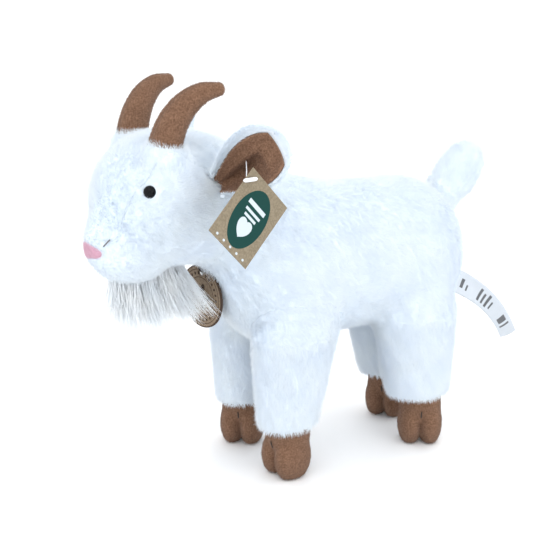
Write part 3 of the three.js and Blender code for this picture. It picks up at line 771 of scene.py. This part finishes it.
def build_ears():
    u, v = np.meshgrid(np.linspace(0, 0.995, 34), np.linspace(0, 1, 29), indexing="ij")
    for side, hand in ((1, "left"), (-1, "right")):
        body = hand + "_ear"
        back_front = ear_point(side, u, v, -0.3)
        back_back = ear_point(side, u, v, -2.5)
        verts, faces = closed_sheet(back_front, back_back)
        faces = outward(verts, faces)
        mesh_piece(body + "_back_cloth", verts, faces, SKIN, body, [body + "_back"])
        inner_v = 0.02 + v * 0.87
        inner_u = 0.02 + u * 0.915
        lining_front = ear_point(side, inner_u, inner_v, 1.9)
        lining_back = ear_point(side, inner_u, inner_v, 0.1)
        verts, faces = closed_sheet(lining_front, lining_back)
        faces = outward(verts, faces)
        mesh_piece(body + "_lining_felt", verts, faces, BROWN, body, [body + "_lining"])
        quads = grid_quads(*u.shape)
        rng = np.random.default_rng(500 + side)
        up = grid_normals(lining_front, lining_front - lining_back).reshape(-1, 3)
        points, way = lining_front.reshape(-1, 3), [0.6 * side, 0.5, 0.5]
        felt_nap(body + "_lining_nap", points, quads, up, way, body, rng)
        up = grid_normals(back_back, back_back - back_front).reshape(-1, 3)
        roots, ups = scatter(back_back.reshape(-1, 3), quads, up, FUR_DENSITY, rng)
        flow = np.tile([0.65 * side, 0.51, 0.55], (len(roots), 1)) + wander(roots)
        tv, tf, ts = tufts(roots, ups, flow, np.full(len(roots), 4.2), FUR_WIDTH, 0.55, 0.3, rng)
        mesh_piece(body + "_back_fur", tv, tf, FUR, body, shading=ts)
        build_ear_rim(body, side, rng)


def build_ear_rim(body, side, rng):
    """hair that stands round the ear's edge and lies over its white margin"""
    count = 7600
    kind = rng.random(count)
    upper, tip, lower = kind < 0.3, (kind >= 0.3) & (kind < 0.45), (kind >= 0.45) & (kind < 0.5)
    edge = kind >= 0.5
    along_u, across_v = rng.random(count), rng.random(count)
    u = 0.04 + 0.94 * along_u
    v = np.where(rng.random(count) < 0.55, 1.0, 0.0)
    u, v = np.where(upper, 0.04 + 0.94 * along_u, u), np.where(upper, 0.88 + 0.12 * across_v, v)
    u, v = np.where(tip, 0.94 + 0.05 * along_u, u), np.where(tip, across_v, v)
    u, v = np.where(lower, 0.04 + 0.9 * along_u, u), np.where(lower, 0.015 * across_v, v)
    around = edge & (rng.random(count) < 0.3)
    u, v = np.where(around, 0.993, u), np.where(around, across_v, v)
    depth = np.where(edge, -0.3 - 2.2 * rng.random(count), -0.3)
    at = ear_point(side, u, v, depth)
    centre = ear_point(side, np.clip(u * 0.8, 0.1, 0.6), 0.5 + 0 * v, depth)
    away = unit(at - centre)
    ahead = unit(ear_point(side, u, v, depth + 1.0) - at)
    up = np.where(edge[:, None], away, unit(ahead + 0.5 * away))
    along = np.tile(unit(np.array([0.65 * side, 0.51, 0.55])), (count, 1))
    flow = away * np.where(edge, 0.3, 1.0)[:, None] + along
    v3, faces, shading = tufts(at, up, flow, np.full(count, 3.4), FUR_WIDTH, 0.6, 0.4, rng)
    mesh_piece(body + "_rim_fur", v3, faces, FUR, body, shading=shading)


# ---- eyes and nostrils ----
def build_eyes():
    for side, hand in ((1, "left"), (-1, "right")):
        axis = unit(np.array([side * 0.86, -0.47, 0.18]))
        a = unit(np.cross(axis, [0, 0, 1]))
        b = np.cross(axis, a)
        at = np.array([side * EYE_AT[0], *EYE_AT[1:]])
        # the dome, its flat back and its post
        profile = [(0.0, 3.0), (0.8, 2.93), (1.7, 2.66), (2.6, 2.1), (3.2, 1.4), (3.6, 0.6), (3.75, 0.0),
                   (3.6, -0.5), (3.0, -0.8), (1.4, -0.9), (1.3, -8.5), (0.0, -8.6)]
        lathe(hand + "_eye_dome", at, axis, a, b, profile, EYE, [hand + "_eye"])
        post_end = at - axis * 8.0
        ring = [(1.6, 0.5), (5.2, 0.5), (5.4, 0.0), (5.2, -0.5), (1.6, -0.5), (1.5, 0.0), (1.6, 0.5)]
        node = hand + "_eye_washer"
        lathe(hand + "_eye_lock", post_end, axis, a, b, ring, WASHER, [node])


def lathe(name, at, axis, a, b, profile, material, nodes, count=28):
    """a turned solid: profile is (radius, height) along the axis; a ring profile ends where it starts"""
    ring = profile[0] == profile[-1]
    rows = profile[:-1] if ring else profile
    verts, index = [], []
    spins = np.linspace(0, 2 * math.pi, count + 1)[:-1]
    for r, h in rows:
        if r == 0:
            index.append([len(verts)] * count)
            verts.append(at + axis * h)
        else:
            index.append(list(range(len(verts), len(verts) + count)))
            verts.extend(at + axis * h + r * (math.cos(s) * a + math.sin(s) * b) for s in spins)
    faces = []
    steps = len(rows) if ring else len(rows) - 1
    for i in range(steps):
        low, high = index[i], index[(i + 1) % len(rows)]
        for j in range(count):
            k = (j + 1) % count
            faces.append(list(dict.fromkeys([low[j], low[k], high[k], high[j]])))
    verts = np.array(verts)
    mesh_piece(name, verts, outward(verts, faces), material, "head", nodes)


def tube(points, radius, sides=8, taper=None):
    """verts and faces of a closed tube along points"""
    p = np.array(points, float)
    n = len(p)
    ahead = unit(np.gradient(p, axis=0))
    side = unit(np.cross(ahead, [0.13, 0.31, 0.94]))
    up = np.cross(ahead, side)
    size = np.full(n, radius) if taper is None else radius * np.asarray(taper)
    spins = np.linspace(0, 2 * math.pi, sides + 1)[:-1]
    cos, sin = np.cos(spins)[:, None], np.sin(spins)[:, None]
    verts = np.concatenate([p[i] + size[i] * (cos * side[i] + sin * up[i]) for i in range(n)])
    faces = ring_faces(n, sides).tolist()
    faces.append(list(range(sides))[::-1])
    faces.append([(n - 1) * sides + j for j in range(sides)])
    return verts, outward(verts, faces)


def build_stitches():
    for side, hand in ((1, "left"), (-1, "right")):
        t = np.linspace(0, 1, 12)[:, None]
        line = np.array([20.6 * side, -165.4, 167.7]) * (1 - t) + np.array([17.9 * side, -168.4, 163.5]) * t
        verts, faces = tube(onto(head_field, line, 1.9), STITCH_RADIUS)
        node = hand + "_nostril_stitch"
        mesh_piece(hand + "_nostril_line", verts, faces, GREY_THREAD, "head", [node])
    for name, hoof in HOOVES.items():
        yaw = math.radians(hoof["yaw"])
        back = np.array([math.sin(yaw), -math.cos(yaw), 0])
        z = np.linspace(21.5, 26.5, 8)
        line = np.array([*hoof["at"], 0]) + back * 12.0 + np.array([0, 0, 1]) * z[:, None]
        field = lambda p, hoof=hoof: hoof_field(p, hoof)
        verts, faces = tube(onto(field, line, 0.3), STITCH_RADIUS, 6)
        node = name + "_cleft_stitch"
        mesh_piece(name + "_cleft_thread", verts, faces, THREAD, name + "_leg", [node])


# ---- filling ----
def build_filling():
    """each filling: its body, its field and the box that it lies in"""
    def trunk(p):
        return np.maximum(torso_field(p) + FILLING_GAP, -(p[..., 1] + 84))

    inside = {
        "body_stuffing": ("torso", trunk, (-46, -92, 82), (46, 96, 190)),
        "head_stuffing": ("head", lambda p: head_field(p) + FILLING_GAP, (-44, -176, 130), (44, -70, 228)),
        "tail_stuffing": ("tail", lambda p: tail_field(p) + FILLING_GAP, (-16, 64, 150), (16, 120, 210)),
    }
    for name, leg in LEGS.items():
        x, y, z = leg["foot"]
        field = lambda p, leg=leg: np.maximum(leg_field(p, leg) + FILLING_GAP, p[..., 2] - 96)
        box = (x - 28, y - 40, z - 8), (x + 28, y + 44, 112)
        inside[name + "_leg_stuffing"] = (name + "_leg", field, *box)
    for side, hand in ((1, "left"), (-1, "right")):
        line = [(x * side, y, z) for x, y, z in HORN]
        field = lambda p, line=line: horn_core(p, line)
        xs = [q[0] for q in line]
        box = (min(xs) - 14, -148, 198), (max(xs) + 14, -94, 262)
        inside[hand + "_horn_stuffing"] = (hand + "_horn", field, *box)
    for name, (body, field, low, high) in inside.items():
        def lumpy(p, field=field):
            x, y, z = p[..., 0], p[..., 1], p[..., 2]
            return field(p) + 0.5 * np.sin(x * 0.5) * np.sin(y * 0.45) * np.sin(z * 0.4)

        verts, quads = surface(lumpy, low, high, 3.0)
        piece = mesh_piece(name + "_fibre", verts, quads, FIBRE, body, [name])


def horn_core(p, line):
    d = None
    for a, b, ra, rb in zip(line, line[1:], HORN_RADII, HORN_RADII[1:]):
        one = round_cone(p, a, b, ra - 2.4, rb - 2.4)
        d = one if d is None else np.minimum(d, one)
    return d


# ---- beard ----
STRANDS = 2200
LOCKS = 26
STRAND_POINTS = 8


def build_beard():
    """loose hairs from the chin to the throat, falling in locks that sweep back along the chest"""
    rng = np.random.default_rng(61)
    locks = rng.normal(size=(LOCKS, 4))
    all_verts, all_faces, round_ways = [], [], []
    start = 0
    for k in range(STRANDS):
        lock = k % LOCKS
        u = np.clip((lock + 0.5) / LOCKS + 0.05 * rng.normal(), 0, 1)
        root = np.array([2.6 * rng.normal(), -157 + 41 * u, 142.0 + 6 * u])
        root = onto(head_field, root[None], -0.3)[0]
        length = (30 + 15 * u - 8 * u * u) * (0.8 + 0.3 * rng.random())
        to_left, back = 0.10 * locks[lock, 0], 0.07 * locks[lock, 1]
        fall = np.array([0.05 + 0.16 * u + to_left, -0.10 + 0.50 * u + back, -1.0])
        way = unit(fall + 0.07 * rng.normal(size=3))
        curve = np.array([0.06 * locks[lock, 2], 0.10 + 0.08 * locks[lock, 3], 0.0])
        curve = curve + 0.04 * rng.normal(size=3)
        t = np.linspace(0, 1, STRAND_POINTS)[:, None]
        wave = 0.5 * np.sin(t * (3 + 3 * rng.random()) + rng.random() * 6)
        sway = wave * np.array([[rng.normal(), rng.normal(), 0]])
        line = root + way * length * t + curve * length * t * t + sway * t
        v, f = tube(line, 0.15 + 0.05 * rng.random(), 3, np.linspace(1, 0.25, STRAND_POINTS))
        all_verts.append(v)
        round_ways.append(unit(v - np.repeat(line, 3, axis=0)))
        all_faces.extend([[i + start for i in q] for q in f])
        start += len(v)
    verts = np.concatenate(all_verts)
    out = unit((verts - np.array([0, -136, 110])) * np.array([2.5, 0.8, 0.4]))
    shading = unit(np.concatenate(round_ways) + 0.35 * out)[np.concatenate(all_faces)]
    mesh_piece("beard_hair", verts, all_faces, HAIR, "beard", ["beard_tuft"], shading)


# ---- print on boards and ribbon ----
class Value:
    """a number in a shader; its operators add maths nodes"""

    def __init__(self, tree, socket):
        self.tree, self.socket = tree, socket

    def do(self, operation, other=None):
        node = self.tree.nodes.new("ShaderNodeMath")
        node.operation = operation
        self.tree.links.new(self.socket, node.inputs[0])
        if isinstance(other, Value):
            self.tree.links.new(other.socket, node.inputs[1])
        elif other is not None:
            node.inputs[1].default_value = other
        return Value(self.tree, node.outputs[0])


for symbol, operation in (("add", "ADD"), ("sub", "SUBTRACT"), ("mul", "MULTIPLY"), ("truediv", "DIVIDE"),
                          ("lt", "LESS_THAN"), ("gt", "GREATER_THAN"), ("abs", "ABSOLUTE")):
    setattr(Value, f"__{symbol}__", lambda self, other=None, name=operation: self.do(name, other))


def paint(base, colour, mask):
    """the base colour with a plain colour laid over it where the mask is 1"""
    node = mask.tree.nodes.new("ShaderNodeMix")
    node.data_type = "RGBA"
    mask.tree.links.new(mask.socket, node.inputs[0])
    mask.tree.links.new(base, node.inputs[6])
    node.inputs[7].default_value = (*colour, 1)
    return node.outputs[2]


def disc(x, y, cx, cy, rx, ry):
    u, v = (x - cx) / rx, (y - cy) / ry
    return u * u + v * v < 1.0


def bar(x, y, cx, cy, hx, hy):
    return (abs(x - cx) < hx) * (abs(y - cy) < hy)


def printed(name, dark, light, scale=900):
    """a board material whose print is drawn in the piece's own x and y, in millimetres"""
    material, nodes, links, shader = new_material(name)
    coords = nodes.new("ShaderNodeTexCoord").outputs["Object"]
    split = nodes.new("ShaderNodeSeparateXYZ")
    links.new(coords, split.inputs[0])
    x, y, z = (Value(material.node_tree, socket) for socket in split.outputs)
    base = ramp(nodes, links, noise(nodes, links, coords, scale), [(0.35, dark), (0.65, light)])
    shader.inputs["Roughness"].default_value = 0.8
    shader.inputs["Specular IOR Level"].default_value = 0.2
    return material, x * 1000.0, y * 1000.0, z > 0.0, base, shader


# ---- swing tag ----
def tag_material():
    """a green oval with a heart and bars, and a row of dots"""
    material, x, y, front, base, shader = printed("kraft_card", (0.20, 0.165, 0.112), (0.27, 0.225, 0.16))
    green, white = (0.006, 0.048, 0.042), (0.55, 0.62, 0.68)
    colour = paint(base, green, disc(x, y, 0.0, -0.6, 12.6, 17.8) * front)
    u, v = x / 5.0, (y + 7.5) / 5.0
    lobe = u * u + v * v - 1.0
    marks = [lobe * lobe * lobe - u * u * (v * v * v) < 0.0]
    marks += [bar(x, y, 0, cy, hx, hy) for cy, hx, hy in ((7.6, 7.6, 1.3), (3.4, 6.6, 0.8), (0.4, 5.2, 0.8))]
    marks += [disc(x, y, cx, -19.4, 0.9, 0.7) for cx in (-12.4, -6.2, 0.0, 6.2, 12.4)]
    for mark in marks:
        colour = paint(colour, white, mark * front)
    material.node_tree.links.new(colour, shader.inputs["Base Color"])
    return material


def local_piece(name, verts, faces, material, origin, axes, body, nodes):
    """a piece whose own x, y, z (in millimetres) lie along axes at origin"""
    mesh = bpy.data.meshes.new(name)
    mesh.from_pydata((np.asarray(verts) / 1000).tolist(), [], [list(map(int, f)) for f in faces])
    mesh.update()
    mesh.materials.append(material)
    obj = bpy.data.objects.new(name, mesh)
    bpy.context.scene.collection.objects.link(obj)
    m = Matrix.Identity(4)
    at = metres(origin)
    for row in range(3):
        for col in range(3):
            m[row][col] = float(axes[col][row])
        m[row][3] = float(at[row])
    obj.matrix_world = m
    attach(obj, body)
    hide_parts(*nodes)
    return obj


def facing_axes(degrees):
    """level and outward directions of a board that faces away from the body"""
    n = math.radians(degrees)
    return np.array([math.cos(n), math.sin(n), 0]), np.array([math.sin(n), -math.cos(n), 0])


def plate(outline, holes_at, hole_radius, thick, chamfer=0.12):
    """a flat board with one round hole: outline and hole are joined by a fan of quads"""
    n = len(outline)
    angles = np.arctan2(outline[:, 1] - holes_at[1], outline[:, 0] - holes_at[0])
    ring = np.array(holes_at) + hole_radius * np.stack([np.cos(angles), np.sin(angles)], 1)
    middle = outline.mean(0)
    inset = outline + chamfer * unit(middle - outline)
    top = thick / 2
    layers = [(ring, top), (inset, top), (outline, top - chamfer), (outline, chamfer - top), (inset, -top),
              (ring, -top)]
    verts = np.concatenate([np.column_stack([xy, np.full(n, z)]) for xy, z in layers])
    return verts, outward(verts, ring_faces(len(layers), n, closed=True).tolist())


CARD = dict(width=35.7, length=43.3, thick=0.8, facing=104.75, hole=(79.5, -104.3, 207.2), up=(-15.6, 15.1))


def build_tag():
    half = np.array([CARD["width"], CARD["length"]]) / 2
    hole = np.array(CARD["up"])
    corners = np.array([[-1, -1], [1, -1], [1, 1], [-1, 1]]) * half
    outline = np.concatenate([corners[k] + (corners[(k + 1) % 4] - corners[k]) * t
                              for k in range(4) for t in [np.linspace(0, 1, 15)[:-1, None]]])
    verts, faces = plate(outline, hole, 1.6, CARD["thick"])
    level, normal = facing_axes(CARD["facing"])
    lean = math.atan2(*hole)
    x_axis = level * math.cos(lean) + np.array([0, 0, 1]) * math.sin(lean)
    y_axis = -level * math.sin(lean) + np.array([0, 0, 1]) * math.cos(lean)
    origin = np.array(CARD["hole"]) - x_axis * hole[0] - y_axis * hole[1]
    axes = x_axis, y_axis, normal
    local_piece("swing_tag_board", verts, faces, tag_material(), origin, axes, "swing_tag",
                ["swing_tag_card"])
    at = np.array(CARD["hole"])
    end = np.array([55.8, -94.6, 213.2])
    start, behind = at + normal * 1.5, at - normal * 1.6
    line = spline([start, behind, behind + (end - behind) * 0.4 + np.array([0, 0, 1.5]), end], 24)
    v1, f1 = tube(line, 0.3, 8)
    ends = np.linspace(-1, 1, 13)
    bar = start + level * (ends * 5.0)[:, None]
    v2, f2 = tube(bar, 1.15, 10, np.sqrt(np.clip(1 - ends ** 8, 0.05, 1)))
    verts = np.concatenate([v1, v2])
    faces = list(f1) + [[i + len(v1) for i in q] for q in f2]
    mesh_piece("tag_pin_moulding", verts, faces, NYLON, "left_ear", ["tag_pin"])


# ---- medallion ----
MEDAL = dict(radius=20.5, thick=1.6, facing=15.0, hang=(-4.0, -98.5, 137.5), drop=19.0, hole=2.6, down=3.0)
LOOP = dict(high=3.5, deep=5.25, strand=0.36, spread=0.26)


def medal_material():
    """rings, a band of dots and a flower with five petals"""
    dark, light = (0.20, 0.145, 0.098), (0.27, 0.205, 0.145)
    material, x, y, front, base, shader = printed("medallion_board", dark, light, 700)
    ink = (0.055, 0.035, 0.025)
    r, angle = (x * x + y * y).do("SQRT"), y.do("ARCTAN2", x)
    dots = ((angle * 26.0).do("COSINE") > 0.35) * (abs(r - 15.3) < 0.9)
    petals = (angle * 5.0).do("COSINE") * 3.0 + 6.2
    colour = paint(base, ink, r > 19.6)
    for mark in (abs(r - 17.8) < 0.22, abs(r - 12.7) < 0.22, dots, (r < petals) * (r > 2.2)):
        colour = paint(colour, ink, mark * front)
    material.node_tree.links.new(colour, shader.inputs["Base Color"])
    return material


def build_medallion():
    spins = np.linspace(0, 2 * math.pi, 97)[:-1]
    outline = MEDAL["radius"] * np.stack([np.cos(spins), np.sin(spins)], 1)
    verts, faces = plate(outline, (0.0, MEDAL["drop"] - MEDAL["down"]), MEDAL["hole"], MEDAL["thick"], 0.25)
    level, normal = facing_axes(MEDAL["facing"])
    origin = np.array(MEDAL["hang"]) - np.array([0, 0, MEDAL["drop"]])
    axes = level, np.array([0, 0, 1.0]), normal
    local_piece("medallion_board", verts, faces, medal_material(), origin, axes, "medallion",
                ["medallion_disc"])
    centre = np.array(MEDAL["hang"]) + np.array([0, 3.0, 0.2])
    t = np.linspace(0, 2 * math.pi, 49)[:-1]
    tall, deep = LOOP["high"] * np.sin(t), LOOP["deep"] * np.cos(t)
    loop = centre - deep[:, None] * normal + tall[:, None] * np.array([0, 0, 1.0])
    verts, faces = twisted_ring(loop, LOOP["strand"], LOOP["spread"])
    mesh_piece("medallion_thread", verts, faces, THREAD, "torso", ["medallion_loop"])


def twisted_ring(loop, strand, spread):
    """two strands laid round each other along a closed line, as one ring each"""
    p = spline(np.concatenate([loop, loop[:1]]), 4 * len(loop) + 1)[:-1]
    ahead = unit(np.roll(p, -1, 0) - np.roll(p, 1, 0))
    side = unit(np.cross(ahead, [0.97, 0.26, 0.01]))
    up = np.cross(ahead, side)
    sides = 6
    spins = np.linspace(0, 2 * math.pi, sides + 1)[:-1]
    cos, sin = np.cos(spins)[None, :, None], np.sin(spins)[None, :, None]
    turns = np.linspace(0, 2 * math.pi * 9, len(p) + 1)[:-1]
    verts, faces = [], []
    for k in range(2):
        twist = turns + math.pi * k
        line = p + spread * (np.cos(twist)[:, None] * side + np.sin(twist)[:, None] * up)
        rings = line[:, None] + strand * (cos * side[:, None] + sin * up[:, None])
        verts.append(rings.reshape(-1, 3))
        faces.extend((ring_faces(len(p), sides, closed=True) + k * len(p) * sides).tolist())
    verts = np.concatenate(verts)
    return verts, outward(verts, faces)


# ---- care label ----
LABEL = dict(root=(4, 90, 109), width=20.0, length=76.0, droop=24.0, turn=18.0, twist=72.0, untwist=40.0)


def label_material():
    material, nodes, links, shader = new_material("satin_ribbon")
    uv = nodes.new("ShaderNodeUVMap")
    uv.uv_map = "UVMap"
    split = nodes.new("ShaderNodeSeparateXYZ")
    links.new(uv.outputs[0], split.inputs[0])
    x = Value(material.node_tree, split.outputs[0]) * LABEL["length"]
    y = Value(material.node_tree, split.outputs[1]) * LABEL["width"]
    weave = nodes.new("ShaderNodeTexWave")
    weave.inputs["Scale"].default_value = 60.0
    links.new(uv.outputs[0], weave.inputs["Vector"])
    colour = ramp(nodes, links, weave.outputs["Fac"], [(0.0, (0.60, 0.65, 0.71)), (1.0, (0.68, 0.72, 0.77))])
    ink = (0.10, 0.105, 0.115)
    bars = [(12, 10, 1.4, 4.0), (17, 8, 0.8, 2.6), (30, 10, 1.2, 6.0), (34.5, 9, 1.0, 5.0),
            (39, 10, 1.2, 6.5), (43.5, 9, 0.8, 4.0), (60, 10, 2.6, 5.0), (65.5, 10, 0.8, 6.0)]
    for place in bars:
        colour = paint(colour, ink, bar(x, y, *place))
    links.new(colour, shader.inputs["Base Color"])
    shader.inputs["Roughness"].default_value = 0.42
    shader.inputs["Sheen Weight"].default_value = 0.2
    return material


def build_label():
    nu, nv = 77, 13
    u, v = np.meshgrid(np.linspace(0, 1, nu), np.linspace(0, 1, nv), indexing="ij")
    run = LABEL["length"] * u
    droop = np.radians(LABEL["droop"] + LABEL["turn"] * u)
    twist = np.radians(LABEL["twist"] - LABEL["untwist"] * u)
    across = np.stack([np.cos(twist), 0 * u, np.sin(twist)], -1)
    normal = np.stack([-np.sin(twist), 0 * u, np.cos(twist)], -1)
    p = np.array(LABEL["root"]) + np.stack([4 * np.sin(3 * u), run * np.cos(droop), -run * np.sin(droop)], -1)
    p = p + across * ((v - 0.5) * LABEL["width"])[..., None]
    p = p + normal * (0.9 * np.sin(v * math.pi) * np.sin(u * 5))[..., None]
    verts, faces = closed_sheet(p + normal * 0.22, p - normal * 0.22)
    faces = outward(verts, faces)
    ribbon = label_material()
    obj = mesh_piece("care_label_ribbon", verts, faces, ribbon, "label", ["care_label"])
    layer = obj.data.uv_layers.new(name="UVMap")
    flat = np.concatenate([np.stack([u, v], -1).reshape(-1, 2)] * 2)
    for loop in obj.data.loops:
        layer.data[loop.index].uv = flat[loop.vertex_index]


# ---- studio ----
def build_studio():
    bpy.ops.mesh.primitive_plane_add(size=8)
    floor = bpy.context.object
    floor.name = "studio_floor"
    material, _, _, shader = new_material("floor_white")
    shader.inputs["Base Color"].default_value = (0.93, 0.94, 0.95, 1)
    shader.inputs["Roughness"].default_value = 0.9
    floor.data.materials.append(material)
    world = bpy.data.worlds.new("studio")
    bpy.context.scene.world = world
    world.use_nodes = True
    world.node_tree.nodes["Background"].inputs["Color"].default_value = (1, 1, 1, 1)
    world.node_tree.nodes["Background"].inputs["Strength"].default_value = 1.38

    lights = [("key", (0.7, -0.5, 1.3), 0.7, 2.6), ("fill", (1.3, 0.4, 0.5), 0.9, 2.4),
              ("back", (-1.0, 0.8, 0.9), 0.9, 3.0)]
    for name, at, size, power in lights:
        light = bpy.data.lights.new(name, "AREA")
        light.size = size
        light.energy = power
        obj = bpy.data.objects.new(name, light)
        bpy.context.scene.collection.objects.link(obj)
        aim(obj, at, (0, 0, 0.12))


def aim(obj, at, target):
    obj.location = at
    obj.rotation_mode = "QUATERNION"
    obj.rotation_quaternion = (Vector(target) - Vector(at)).to_track_quat("-Z", "Y")


def build_camera():
    camera = bpy.data.objects.new("camera", bpy.data.cameras.new("camera"))
    bpy.context.scene.collection.objects.link(camera)
    camera.data.lens = 64.19
    camera.data.sensor_width = 36
    aim(camera, metres((562.9, -333.5, 300.0)), metres((-16.0, -36.3, 118.3)))
    camera.data.clip_start = 0.05
    camera.data.clip_end = 20
    bpy.context.scene.camera = camera


bpy.context.scene.view_settings.view_transform = "Standard"
build_skin()
build_hooves()
build_horns()
build_ears()
build_eyes()
build_stitches()
build_filling()
build_beard()
build_tag()
build_medallion()
build_label()
build_studio()
build_camera()
